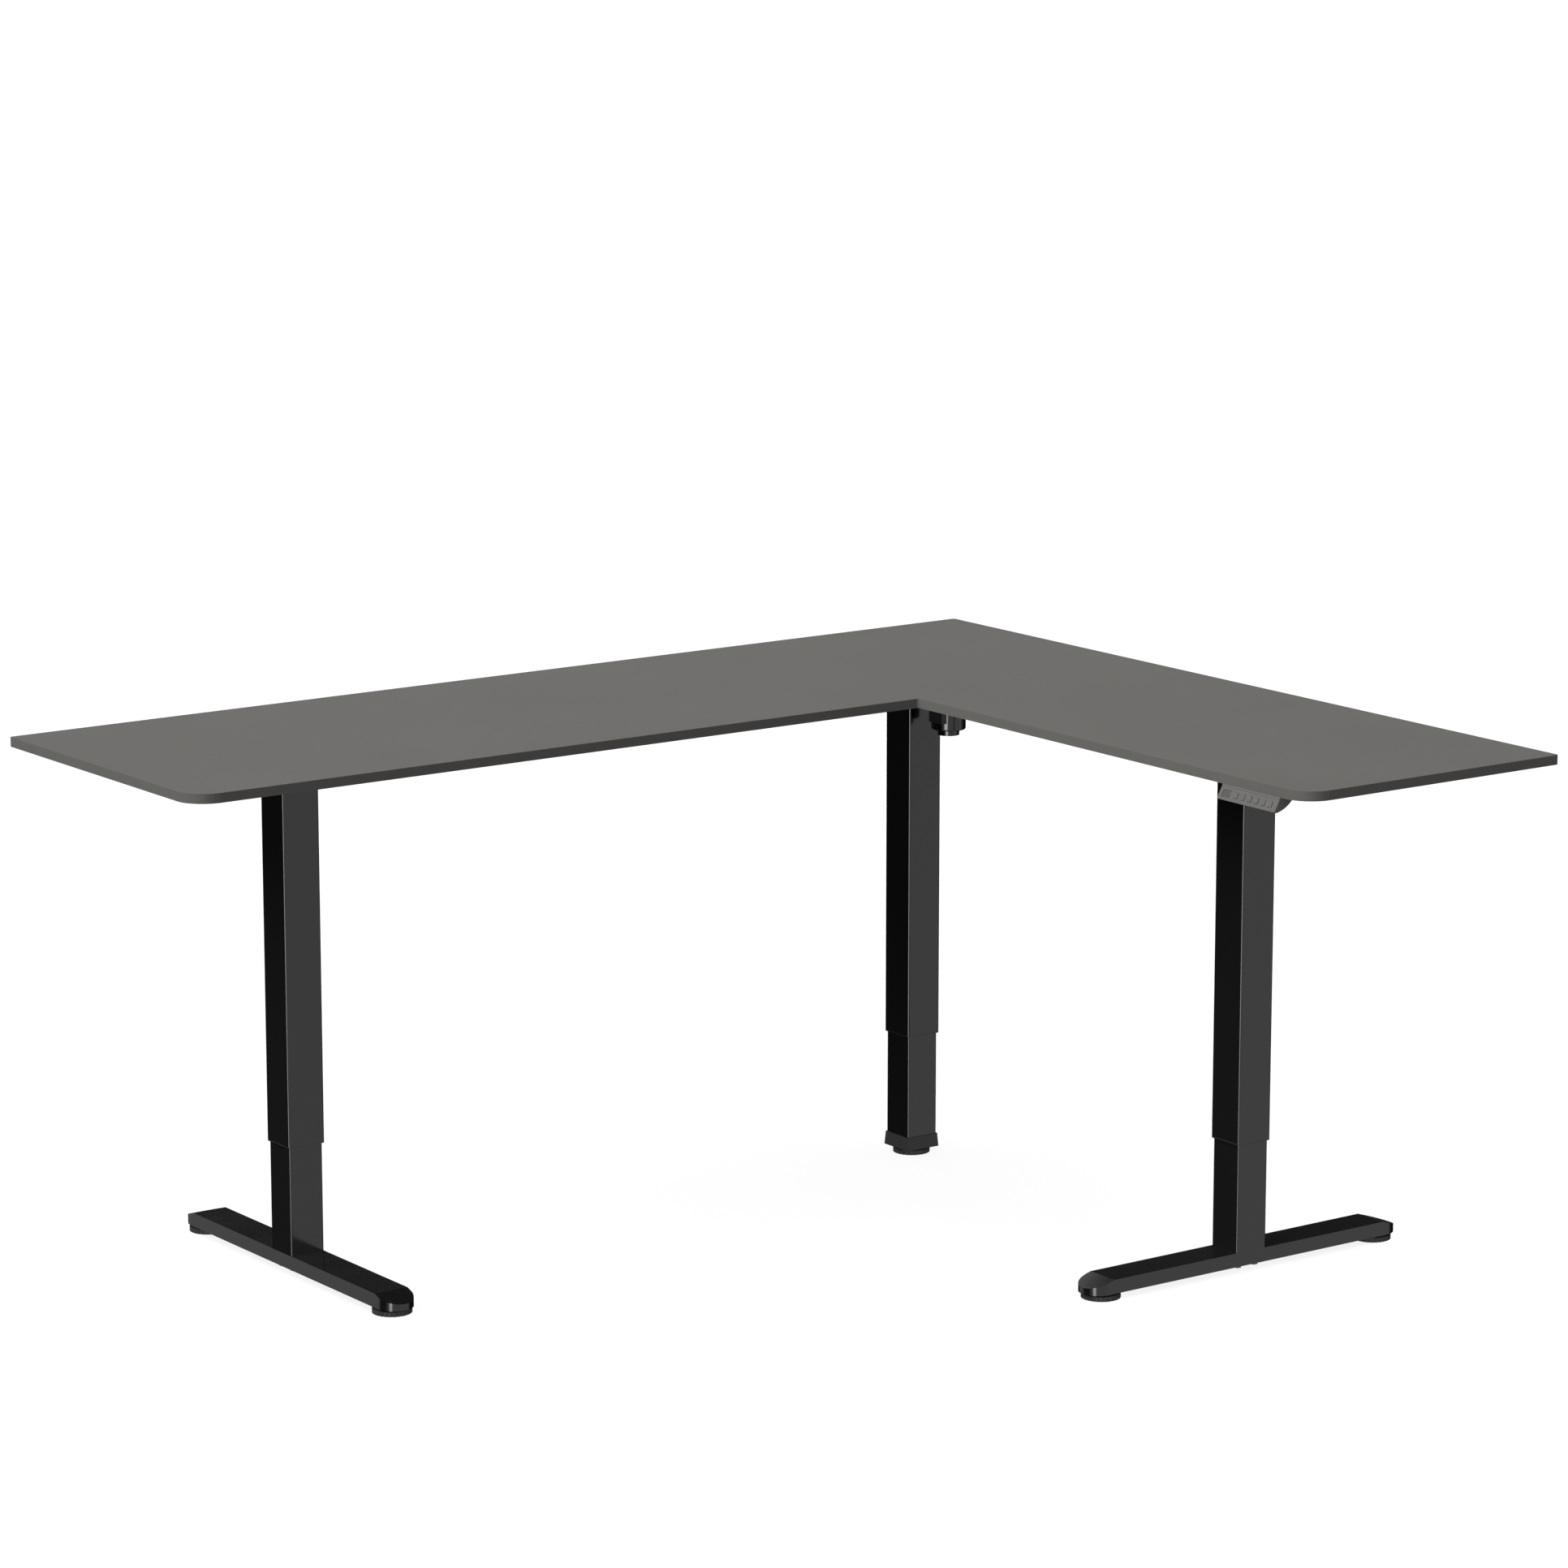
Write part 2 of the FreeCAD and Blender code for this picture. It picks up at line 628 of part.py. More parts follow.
def make_drive_units():
    covers = []
    bearings = []
    floor = HEAD_BOTTOM + GEARBOX_FLOOR
    ring = rod(BEARING_DIAMETER, 0, 0, HEAD_BOTTOM, floor)
    ring = ring.cut(rod(SPINDLE_DIAMETER + 2 * RUNNING_FIT, 0, 0, HEAD_BOTTOM, floor))
    flange_low = floor + MOVING_GAP
    spindle_top = floor + SPINDLE_ABOVE_BEARING
    spindle = joined(
        [
            rod(SPINDLE_DIAMETER, 0, 0, spindle_top - SPINDLE_LENGTH, spindle_top),
            rod(SPINDLE_FLANGE_DIAMETER, 0, 0, flange_low, flange_low + SPINDLE_FLANGE_THICK),
        ]
    )
    for name, at, angle, drop in COLUMNS:
        export(name + "_gearbox_housing", place(make_gearbox(), at, angle))
        export(name + "_motor", place(make_motor(drop), at, angle))
        covers.append(place(make_connector_cover(drop), at, angle))
        bearings.append(place(ring, at))
        export(name + "_lifting_spindle", place(spindle, at))
    export_group("motor_connector_covers", covers)
    export_group("spindle_bearings", bearings)


# ---- lower legs ----
def foot_blank(length, width, z0, z1, facet_length):
    """A bar with half-round ends whose tips are planed down by a sloping facet."""
    blank = stadium(length, width, z0, z1)
    tip = length / 2
    slope = FOOT_FACET_DROP / FOOT_FACET_LENGTH
    reach = facet_length + 1
    for side in (-1, 1):
        start = vec(side * (tip - facet_length), -width, z1)
        low = vec(side * (tip - facet_length + reach), -width, z1 - slope * reach)
        high = vec(side * (tip - facet_length + reach), -width, z1 + 1)
        over = vec(side * (tip - facet_length), -width, z1 + 1)
        face = Part.Face(Part.makePolygon([start, low, high, over, start]))
        blank = blank.cut(face.extrude(vec(0, 2 * width, 0)))
    return blank


def bolt_offsets():
    half = FOOT_BOLT_SPACING / 2
    return [(-half, -half), (half, -half), (half, half), (-half, half)]


def make_foot():
    wall = FOOT_WALL
    foot = foot_blank(FOOT_LENGTH, FOOT_WIDTH, GLIDE_HEIGHT, FOOT_TOP, FOOT_FACET_LENGTH)
    hollow = foot_blank(
        FOOT_LENGTH - 2 * wall,
        FOOT_WIDTH - 2 * wall,
        GLIDE_HEIGHT,
        FOOT_TOP - wall,
        FOOT_FACET_LENGTH - wall,
    )
    block_half = FOOT_BLOCK_LENGTH / 2
    keep = [
        box(
            -block_half,
            block_half,
            -FOOT_WIDTH / 2 + wall,
            FOOT_WIDTH / 2 - wall,
            GLIDE_HEIGHT,
            FOOT_TOP - wall,
        )
    ]
    for side in (-1, 1):
        x = side * GLIDE_SPACING / 2
        keep.append(rod(GLIDE_BOSS_DIAMETER, x, 0, GLIDE_HEIGHT, FOOT_TOP - wall))
    foot = foot.cut(hollow.cut(Part.makeCompound(keep)))
    for side in (-1, 1):
        x = side * GLIDE_SPACING / 2
        top = GLIDE_HEIGHT + GLIDE_STUD_LENGTH + MOVING_GAP
        foot = foot.cut(
            rod(GLIDE_STUD_DIAMETER + 2 * RUNNING_FIT, x, 0, GLIDE_HEIGHT, top)
        )
    for x, y in bolt_offsets():
        hole = rod(FOOT_BOLT_DIAMETER + HOLE_CLEARANCE, x, y, GLIDE_HEIGHT, FOOT_TOP)
        foot = foot.cut(hole)
    return foot.removeSplitter()


def make_foot_bolts():
    bolts = []
    top = FOOT_TOP + BASE_PLATE_THICK
    for x, y in bolt_offsets():
        head_points = []
        for i in range(7):
            a = math.radians(60 * i)
            r = FOOT_BOLT_HEAD_RADIUS
            head_points.append(vec(x + r * math.cos(a), y + r * math.sin(a), GLIDE_HEIGHT))
        head = Part.Face(Part.makePolygon(head_points)).extrude(vec(0, 0, -FOOT_BOLT_HEAD))
        bolts.append(joined([head, rod(FOOT_BOLT_DIAMETER, x, y, GLIDE_HEIGHT, top)]))
    return Part.makeCompound(bolts)


def tube_plug(z0, z1):
    """A block that fills the inner tube from wall to wall."""
    return square_bar(INNER_TUBE - 2 * INNER_WALL, INNER_RADIUS - INNER_WALL, z0, z1)


def make_base_plate():
    plate = tube_plug(FOOT_TOP, FOOT_TOP + BASE_PLATE_THICK)
    for x, y in bolt_offsets():
        hole = rod(FOOT_BOLT_DIAMETER + HOLE_CLEARANCE, x, y, FOOT_TOP, FOOT_TOP + BASE_PLATE_THICK)
        plate = plate.cut(hole)
    return plate


def make_nut():
    low = INNER_TUBE_TOP - NUT_HEIGHT
    bore = rod(SPINDLE_DIAMETER + 2 * RUNNING_FIT, 0, 0, low, INNER_TUBE_TOP)
    return tube_plug(low, INNER_TUBE_TOP).cut(bore)


def make_cap():
    """The corner column's flared foot cap, with a socket for the tube."""
    low = Part.makePolygon(
        [vec(x, y, GLIDE_HEIGHT) for x, y in square_ring(CAP_BOTTOM / 2)]
    )
    high = Part.makePolygon([vec(x, y, CAP_TOP_Z) for x, y in square_ring(CAP_TOP / 2)])
    cap = Part.makeLoft([low, high], True, True)
    socket_floor = CAP_TOP_Z - CAP_SOCKET_DEPTH
    cap = cap.cut(square_bar(INNER_TUBE, INNER_RADIUS, socket_floor, CAP_TOP_Z))
    bore = rod(GLIDE_STUD_DIAMETER + 2 * RUNNING_FIT, 0, 0, GLIDE_HEIGHT, CAP_TOP_Z)
    return cap.cut(bore)


def square_ring(half):
    return [(-half, -half), (half, -half), (half, half), (-half, half), (-half, -half)]


def make_glide():
    """A ribbed levelling pad on a threaded stud."""
    pad_top = GLIDE_HEIGHT - MOVING_GAP
    pad = rod(GLIDE_DIAMETER, 0, 0, 0, GLIDE_SHOULDER)
    grooves = []
    r = GLIDE_DIAMETER / 2
    for i in range(GLIDE_RIBS):
        a = 2 * math.pi * (i + 0.5) / GLIDE_RIBS
        groove = rod(2 * GLIDE_RIB_GROOVE, r * math.cos(a), r * math.sin(a), 0, GLIDE_SHOULDER)
        grooves.append(groove)
    pad = pad.cut(Part.makeCompound(grooves))
    neck = rod(GLIDE_NECK_DIAMETER, 0, 0, GLIDE_SHOULDER, pad_top)
    stud = rod(GLIDE_STUD_DIAMETER, 0, 0, pad_top, GLIDE_HEIGHT + GLIDE_STUD_LENGTH)
    return joined([pad, neck, stud])


def make_lower_legs():
    foot = make_foot()
    bolts = make_foot_bolts()
    base = make_base_plate()
    nut = make_nut()
    glide = make_glide()
    tube = square_tube(INNER_TUBE, INNER_RADIUS, INNER_WALL, FOOT_TOP, INNER_TUBE_TOP)
    for name, at, angle in FEET:
        export(name + "_foot", place(foot, at, angle))
        export(name + "_foot_bolts", place(bolts, at, angle))
        export(name + "_base_plate", place(base, at))
        export(name + "_inner_tube", place(tube, at))
        export(name + "_spindle_nut", place(nut, at))
        for end, side in (("a", -1), ("b", 1)):
            spot = plan_point(at, angle, side * GLIDE_SPACING / 2, 0)
            export(name + "_glide_" + end, place(glide, spot))
    socket_floor = CAP_TOP_Z - CAP_SOCKET_DEPTH
    long_tube = square_tube(INNER_TUBE, INNER_RADIUS, INNER_WALL, socket_floor, INNER_TUBE_TOP)
    plate = tube_plug(socket_floor, socket_floor + BASE_PLATE_THICK)
    bore = rod(GLIDE_STUD_DIAMETER + 2 * RUNNING_FIT, 0, 0, 0, socket_floor + BASE_PLATE_THICK)
    export("corner_foot_cap", place(make_cap(), CORNER_AT))
    export("corner_base_plate", place(plate.cut(bore), CORNER_AT))
    export("corner_inner_tube", place(long_tube, CORNER_AT))
    export("corner_spindle_nut", place(nut, CORNER_AT))
    export("corner_glide", place(glide, CORNER_AT))


# ---- control box ----
def make_control_box():
    w = BOX_WALL
    top = UNDERSIDE - BOX_LID_THICK
    low = top - BOX_CASE_HEIGHT
    middle_y = (BOX_Y0 + BOX_Y1) / 2
    case = box(BOX_X0, BOX_X1, BOX_Y0, BOX_Y1, low, top)
    case = case.cut(box(BOX_X0 + w, BOX_X1 - w, BOX_Y0 + w, BOX_Y1 - w, low + w, top))
    board_z = low + w + POST_HEIGHT
    posts = []
    for x in (BOX_X0 + POST_FROM_END, BOX_X1 - POST_FROM_END):
        for y in (BOX_Y0 + POST_FROM_SIDE, BOX_Y1 - POST_FROM_SIDE):
            posts.append(rod(POST_DIAMETER, x, y, low + w, board_z))
    inlet_z = board_z + CIRCUIT_THICK
    length, width, height = INLET_SIZE
    inlet = box(
        BOX_X0,
        BOX_X0 + length,
        middle_y - width / 2,
        middle_y + width / 2,
        inlet_z,
        inlet_z + height,
    )
    s_length, s_width, s_height = SOCKET_BLOCK_SIZE
    sockets = box(
        BOX_X1 - s_length,
        BOX_X1,
        middle_y - s_width / 2,
        middle_y + s_width / 2,
        inlet_z,
        inlet_z + s_height,
    )
    case = joined([case] + posts).cut(inlet).cut(sockets)
    export("control_box_case", case)
    edge = w + CIRCUIT_MARGIN
    circuit = box(
        BOX_X0 + edge, BOX_X1 - edge, BOX_Y0 + edge, BOX_Y1 - edge, board_z, inlet_z
    )
    export("circuit_board", circuit)
    iw = INLET_WALL
    well = box(
        BOX_X0,
        BOX_X0 + length - iw,
        middle_y - width / 2 + iw,
        middle_y + width / 2 - iw,
        inlet_z + iw,
        inlet_z + height - iw,
    )
    pins = []
    centre_z = inlet_z + height / 2
    x1 = BOX_X0 + length - iw
    half_y, half_z = INLET_PIN_SIZE[0] / 2, INLET_PIN_SIZE[1] / 2
    for y, z in INLET_PINS:
        pins.append(
            box(
                x1 - INLET_PIN_LENGTH,
                x1,
                middle_y + y - half_y,
                middle_y + y + half_y,
                centre_z + z - half_z,
                centre_z + z + half_z,
            )
        )
    export("mains_inlet", joined([inlet.cut(well)] + pins))
    port_width, port_height = SOCKET_PORT
    for i in range(SOCKET_COUNT):
        y = middle_y + (i - (SOCKET_COUNT - 1) / 2) * SOCKET_PITCH
        sockets = sockets.cut(
            box(
                BOX_X1 - SOCKET_PORT_DEPTH,
                BOX_X1,
                y - port_width / 2,
                y + port_width / 2,
                inlet_z + (s_height - port_height) / 2,
                inlet_z + (s_height + port_height) / 2,
            )
        )
    export("motor_sockets", sockets)
    lid = box(BOX_X0 - BOX_EAR, BOX_X1 + BOX_EAR, BOX_Y0, BOX_Y1, top, UNDERSIDE)
    for x, y in box_screw_places():
        lid = lid.cut(screw_hole(x, y, top, UNDERSIDE))
    export("control_box_lid", lid)


# ---- handset ----
FACE_LENGTH = math.hypot(HANDSET_FACE_OUT, HANDSET_FACE_DROP)
FACE_DOWN = vec(-HANDSET_FACE_OUT / FACE_LENGTH, 0, -HANDSET_FACE_DROP / FACE_LENGTH)
FACE_OUT = vec(-HANDSET_FACE_DROP / FACE_LENGTH, 0, HANDSET_FACE_OUT / FACE_LENGTH)


def face_block(along_y, down, width, height, inner, outer):
    """A block square to the sloping face; inner and outer are measured out of the face."""
    corner = vec(HANDSET_X, HANDSET_Y1 - along_y + width / 2, UNDERSIDE)
    corner = corner + FACE_DOWN * (down - height / 2) + FACE_OUT * inner
    a = corner
    b = corner + FACE_DOWN * height
    c = b + FACE_OUT * (outer - inner)
    d = corner + FACE_OUT * (outer - inner)
    face = Part.Face(Part.makePolygon([a, b, c, d, a]))
    return face.extrude(vec(0, -width, 0))


def handset_profile(inset):
    """Side profile: a sloping face, a small lip, and a back that curves up to the board."""
    y = HANDSET_Y0 + inset
    x, z = HANDSET_X, UNDERSIDE
    top_front = vec(x + inset, y, z - inset)
    low_x = x - HANDSET_FACE_OUT
    low_z = z - HANDSET_FACE_DROP
    low_front = vec(low_x + INSET_AT_LIP[0] * inset, y, low_z + INSET_AT_LIP[1] * inset)
    lip = vec(low_x + HANDSET_LIP, y, low_z - HANDSET_LIP_DROP + inset)
    belly_x = x + HANDSET_BELLY[0] * HANDSET_TOP_DEPTH
    belly = vec(belly_x, y, z - HANDSET_BELLY[1] * HANDSET_FACE_DROP + inset)
    back = vec(x + HANDSET_TOP_DEPTH - inset, y, z - HANDSET_BACK_EDGE - inset)
    top_back = vec(x + HANDSET_TOP_DEPTH - inset, y, z - inset)
    edges = [
        Part.makeLine(top_front, low_front),
        Part.makeLine(low_front, lip),
        Part.Arc(lip, belly, back).toShape(),
        Part.makeLine(back, top_back),
        Part.makeLine(top_back, top_front),
    ]
    return Part.Face(Part.Wire(edges)).extrude(vec(0, HANDSET_WIDTH - 2 * inset, 0))


def make_handset():
    down = FACE_CENTRE_SHARE * FACE_LENGTH
    shell = handset_profile(0.0)
    tab = box(
        HANDSET_X + HANDSET_TOP_DEPTH,
        HANDSET_X + HANDSET_TOP_DEPTH + HANDSET_TAB,
        HANDSET_Y0,
        HANDSET_Y1,
        UNDERSIDE - HANDSET_WALL,
        UNDERSIDE,
    )
    shell = shell.fuse(tab).cut(handset_profile(HANDSET_WALL))
    for x, y in handset_screw_places():
        shell = shell.cut(screw_hole(x, y, UNDERSIDE - HANDSET_WALL, UNDERSIDE))
    width, height = DISPLAY_SIZE
    seat = -DISPLAY_RECESS - DISPLAY_THICK
    glass = face_block(DISPLAY_AT, down, width, height, seat, -DISPLAY_RECESS)
    window = face_block(DISPLAY_AT, down, width, height, seat, FACE_CUT_REACH)
    shell = shell.cut(window)
    key_width, key_height = KEY_SIZE
    for i in range(KEY_COUNT):
        at = KEY_FIRST_AT + i * KEY_PITCH
        hole = face_block(
            at,
            down,
            key_width + 2 * MOVING_GAP,
            key_height + 2 * MOVING_GAP,
            -2 * HANDSET_WALL,
            FACE_CUT_REACH,
        )
        shell = shell.cut(hole)
        cap = face_block(at, down, key_width, key_height, -HANDSET_WALL, KEY_PROUD)
        export("handset_key_" + str(i + 1), cap)
    export("handset_shell", shell.removeSplitter())
    export("handset_display", glass)


os.makedirs("parts", exist_ok=True)
make_board()
make_head_plates()
make_brackets()
make_rails()
make_fasteners()
make_outer_tubes()
make_drive_units()
make_lower_legs()
make_control_box()
make_handset()
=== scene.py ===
import json
import math
import bmesh
import bpy
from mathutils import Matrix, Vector


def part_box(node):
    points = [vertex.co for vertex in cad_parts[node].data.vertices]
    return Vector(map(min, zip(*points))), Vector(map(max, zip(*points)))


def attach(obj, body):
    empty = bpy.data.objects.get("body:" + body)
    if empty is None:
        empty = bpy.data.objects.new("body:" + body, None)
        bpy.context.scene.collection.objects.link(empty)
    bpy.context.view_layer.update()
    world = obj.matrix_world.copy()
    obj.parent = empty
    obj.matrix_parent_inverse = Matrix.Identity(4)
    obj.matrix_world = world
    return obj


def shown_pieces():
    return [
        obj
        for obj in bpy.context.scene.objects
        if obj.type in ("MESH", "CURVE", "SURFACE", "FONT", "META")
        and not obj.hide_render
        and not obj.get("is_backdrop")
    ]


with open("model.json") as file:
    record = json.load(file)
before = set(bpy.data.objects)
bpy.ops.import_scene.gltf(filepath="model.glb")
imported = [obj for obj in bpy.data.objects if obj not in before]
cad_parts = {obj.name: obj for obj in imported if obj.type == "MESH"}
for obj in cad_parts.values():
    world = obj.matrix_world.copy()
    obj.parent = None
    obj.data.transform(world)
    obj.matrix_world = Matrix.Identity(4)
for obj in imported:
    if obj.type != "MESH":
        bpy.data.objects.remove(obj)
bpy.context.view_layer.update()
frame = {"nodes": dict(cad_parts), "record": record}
nodes = frame["nodes"]
MM = 0.001

# ---------------------------------------------------------------- materials
# Every pattern is laid out in object coordinates, which are metres here, so a scale of 1000
# makes a feature about a millimetre across.


def new_material(name, colour, roughness, metallic=0.0):
    """A Principled material with its constants set on the shader; returns (material, tree, shader)."""
    material = bpy.data.materials.new(name)
    material.use_nodes = True
    tree = material.node_tree
    shader = tree.nodes["Principled BSDF"]
    shader.inputs["Base Color"].default_value = (*colour, 1.0)
    shader.inputs["Roughness"].default_value = roughness
    shader.inputs["Metallic"].default_value = metallic
    material.diffuse_color = (*colour, 1.0)
    return material, tree, shader


def coordinates(tree, stretch=(1.0, 1.0, 1.0)):
    """Object coordinates, multiplied by stretch along each axis."""
    texture = tree.nodes.new("ShaderNodeTexCoord")
    mapping = tree.nodes.new("ShaderNodeMapping")
    mapping.inputs["Scale"].default_value = stretch
    tree.links.new(texture.outputs["Object"], mapping.inputs["Vector"])
    return mapping.outputs["Vector"]


def noise(tree, where, scale, detail=3.0, roughness=0.55):
    """A noise pattern whose values lie mostly between 0.3 and 0.7."""
    node = tree.nodes.new("ShaderNodeTexNoise")
    node.inputs["Scale"].default_value = scale
    node.inputs["Detail"].default_value = detail
    node.inputs["Roughness"].default_value = roughness
    tree.links.new(where, node.inputs["Vector"])
    return node.outputs["Fac"]


def remap(tree, value, low, high, from_low=0.3, from_high=0.7):
    """The value stretched from one range to another, and held at its ends."""
    node = tree.nodes.new("ShaderNodeMapRange")
    node.inputs["From Min"].default_value = from_low
    node.inputs["From Max"].default_value = from_high
    node.inputs["To Min"].default_value = low
    node.inputs["To Max"].default_value = high
    tree.links.new(value, node.inputs["Value"])
    return node.outputs["Result"]


def vary_colour(tree, shader, value, dark, light):
    """Blend the base colour between two tones by a pattern."""
    mix = tree.nodes.new("ShaderNodeMix")
    mix.data_type = "RGBA"
    mix.inputs["A"].default_value = (*dark, 1.0)
    mix.inputs["B"].default_value = (*light, 1.0)
    tree.links.new(value, mix.inputs["Factor"])
    tree.links.new(mix.outputs["Result"], shader.inputs["Base Color"])


def add_bump(tree, shader, height, strength, distance):
    """Tilt the shading by a pattern; distance is its full height in metres."""
    bump = tree.nodes.new("ShaderNodeBump")
    bump.inputs["Strength"].default_value = strength
    bump.inputs["Distance"].default_value = distance
    tree.links.new(height, bump.inputs["Height"])
    tree.links.new(bump.outputs["Normal"], shader.inputs["Normal"])


def tone(colour, factor):
    """A lighter or darker tone of a colour."""
    return tuple(min(1.0, c * factor) for c in colour)


def laminate(name, colour):
    """Matte melamine: a very fine pressed grain and a barely visible cloudiness."""
    grain_share = 0.35
    material, tree, shader = new_material(name, colour, roughness=0.62)
    where = coordinates(tree)
    cloud = noise(tree, where, scale=5.0, detail=4.0)
    grain = noise(tree, where, scale=900.0, detail=2.0)
    both = tree.nodes.new("ShaderNodeMath")
    both.operation = "MULTIPLY_ADD"
    both.inputs[1].default_value = grain_share
    tree.links.new(grain, both.inputs[0])
    tree.links.new(cloud, both.inputs[2])
    shade = remap(tree, both.outputs[0], low=0.0, high=1.0, from_low=0.4, from_high=0.95)
    vary_colour(tree, shader, shade, tone(colour, 0.965), tone(colour, 1.035))
    rough = remap(tree, grain, low=0.56, high=0.68)
    tree.links.new(rough, shader.inputs["Roughness"])
    add_bump(tree, shader, grain, strength=0.12, distance=0.15 * MM)
    shader.inputs["Specular IOR Level"].default_value = 0.3
    return material


def powder_coat(name, colour, roughness):
    """Glossy baked powder coat: faint orange peel and uneven gloss."""
    material, tree, shader = new_material(name, colour, roughness)
    where = coordinates(tree)
    orange_peel = noise(tree, where, scale=420.0, detail=2.0, roughness=0.5)
    smear = noise(tree, where, scale=9.0, detail=4.0)
    rough = remap(tree, smear, roughness * 0.85, roughness * 1.25)
    tree.links.new(rough, shader.inputs["Roughness"])
    vary_colour(tree, shader, smear, tone(colour, 0.85), tone(colour, 1.15))
    add_bump(tree, shader, orange_peel, strength=0.05, distance=0.2 * MM)
    return material


def moulded_plastic(name, colour, roughness):
    """Spark-eroded moulded plastic: fine even grain."""
    material, tree, shader = new_material(name, colour, roughness)
    where = coordinates(tree)
    grain = noise(tree, where, scale=1300.0, detail=2.0)
    mottle = noise(tree, where, scale=60.0)
    vary_colour(tree, shader, mottle, tone(colour, 0.93), tone(colour, 1.07))
    rough = remap(tree, grain, roughness * 0.9, min(1.0, roughness * 1.15))
    tree.links.new(rough, shader.inputs["Roughness"])
    add_bump(tree, shader, grain, strength=0.18, distance=0.1 * MM)
    return material


def machined_metal(name, colour, roughness, stretch):
    """Bare metal: a fine pattern, which an uneven stretch draws out into turned lines."""
    material, tree, shader = new_material(name, colour, roughness, metallic=1.0)
    where = coordinates(tree, stretch)
    lines = noise(tree, where, scale=700.0, detail=4.0, roughness=0.7)
    rough = remap(tree, lines, roughness * 0.75, roughness * 1.35)
    tree.links.new(rough, shader.inputs["Roughness"])
    vary_colour(tree, shader, lines, tone(colour, 0.86), tone(colour, 1.1))
    add_bump(tree, shader, lines, strength=0.06, distance=0.1 * MM)
    return material


def cast_paint(name, colour, roughness):
    """Painted die casting: a coarser, slightly pitted skin."""
    material, tree, shader = new_material(name, colour, roughness)
    where = coordinates(tree)
    skin = noise(tree, where, scale=260.0, detail=5.0, roughness=0.65)
    rough = remap(tree, skin, roughness * 0.85, roughness * 1.25)
    tree.links.new(rough, shader.inputs["Roughness"])
    vary_colour(tree, shader, skin, tone(colour, 0.8), tone(colour, 1.2))
    add_bump(tree, shader, skin, strength=0.25, distance=0.3 * MM)
    return material


def printed_circuit(name):
    """Green solder mask with a faint pattern of tracks."""
    green = (0.02, 0.11, 0.04)
    material, tree, shader = new_material(name, green, roughness=0.35)
    brick = tree.nodes.new("ShaderNodeTexBrick")
    brick.inputs["Scale"].default_value = 160.0
    brick.inputs["Color1"].default_value = (*green, 1.0)
    brick.inputs["Color2"].default_value = (*tone(green, 1.3), 1.0)
    brick.inputs["Mortar"].default_value = (*tone(green, 2.2), 1.0)
    brick.inputs["Mortar Size"].default_value = 0.03
    tree.links.new(coordinates(tree), brick.inputs["Vector"])
    tree.links.new(brick.outputs["Color"], shader.inputs["Base Color"])
    return material


def smoked_window(name):
    """The handset's display: smooth, a little glossier and darker than its shell."""
    colour = tone(HANDSET_GREY, 0.80)
    material, tree, shader = new_material(name, colour, roughness=0.3)
    haze = noise(tree, coordinates(tree), scale=120.0)
    rough = remap(tree, haze, low=0.26, high=0.36)
    tree.links.new(rough, shader.inputs["Roughness"])
    vary_colour(tree, shader, haze, tone(colour, 0.95), tone(colour, 1.05))
    return material


# base colours, in linear light
BOARD_GREY = (0.121, 0.117, 0.110)
HANDSET_GREY = (0.098, 0.095, 0.090)
BLACK = (0.0060, 0.0060, 0.0064)

MATERIALS = {
    "board_laminate": laminate("dark_grey_laminate", BOARD_GREY),
    "edge_band": laminate("dark_grey_edge_band", BOARD_GREY),
    "black_steel": powder_coat("gloss_black_powder_coat", BLACK, 0.13),
    "zinc_fasteners": machined_metal("blackened_zinc", (0.12, 0.12, 0.125), 0.38, (1, 1, 1)),
    "bright_steel": machined_metal("turned_steel", (0.56, 0.56, 0.55), 0.3, (1, 1, 12)),
    "guide_plastic": moulded_plastic("black_acetal", (0.012, 0.012, 0.012), 0.4),
    "black_plastic": moulded_plastic("black_moulded_plastic", (0.016, 0.016, 0.017), 0.58),
    "gearbox_casting": cast_paint("black_painted_casting", (0.014, 0.014, 0.015), 0.35),
    "circuit_laminate": printed_circuit("green_circuit_board"),
    "handset_plastic": moulded_plastic("grey_handset_plastic", HANDSET_GREY, 0.5),
    "key_plastic": moulded_plastic("grey_key_plastic", tone(HANDSET_GREY, 1.02), 0.5),
    "display_window": smoked_window("smoked_display"),
}


def dress_cad_nodes():
    """Give each CAD node its slot's material."""
    slots = {s["node"]: s["material_slot"] for s in frame["record"]["subparts"]}
    for name, piece in nodes.items():
        piece.data.materials.clear()
        piece.data.materials.append(MATERIALS[slots[name]])


# node name endings and the width in metres to which their sharp edges are eased
EASED = (
    ("_foot", 0.9 * MM),
    ("edge_band", 0.8 * MM),
    ("_head_plate", 0.5 * MM),
    ("_bracket", 0.6 * MM),
    ("control_box_case", 1.2 * MM),
    ("control_box_lid", 0.8 * MM),
    ("_foot_cap", 0.8 * MM),
    ("handset_shell", 0.35 * MM),
    ("motor_connector_covers", 1.5 * MM),
)
KEY_EASED = 0.3 * MM
SHARP_ANGLE = 35


def ease_edges():
    """Round over edges sharper than SHARP_ANGLE degrees, on the keys and on what EASED names."""
    for name, piece in nodes.items():
        width = 0.0
        for ending, eased in EASED:
            if name.endswith(ending):
                width = eased
        if name.startswith("handset_key"):
            width = KEY_EASED
        if width:
            bevel = piece.modifiers.new("eased_edges", "BEVEL")
            bevel.width = width
            bevel.segments = 2
            bevel.limit_method = "ANGLE"
            bevel.angle_limit = math.radians(SHARP_ANGLE)
            bevel.harden_normals = True


# ---------------------------------------------------------------- small pieces
# how far the handset's face leans out and drops from its top edge, as in the CAD
FACE_OUT = 12.0 * MM
FACE_DROP = 22.0 * MM
DISPLAY_HALF_HEIGHT = 6.0 * MM
DISPLAY_RIM = 0.7 * MM
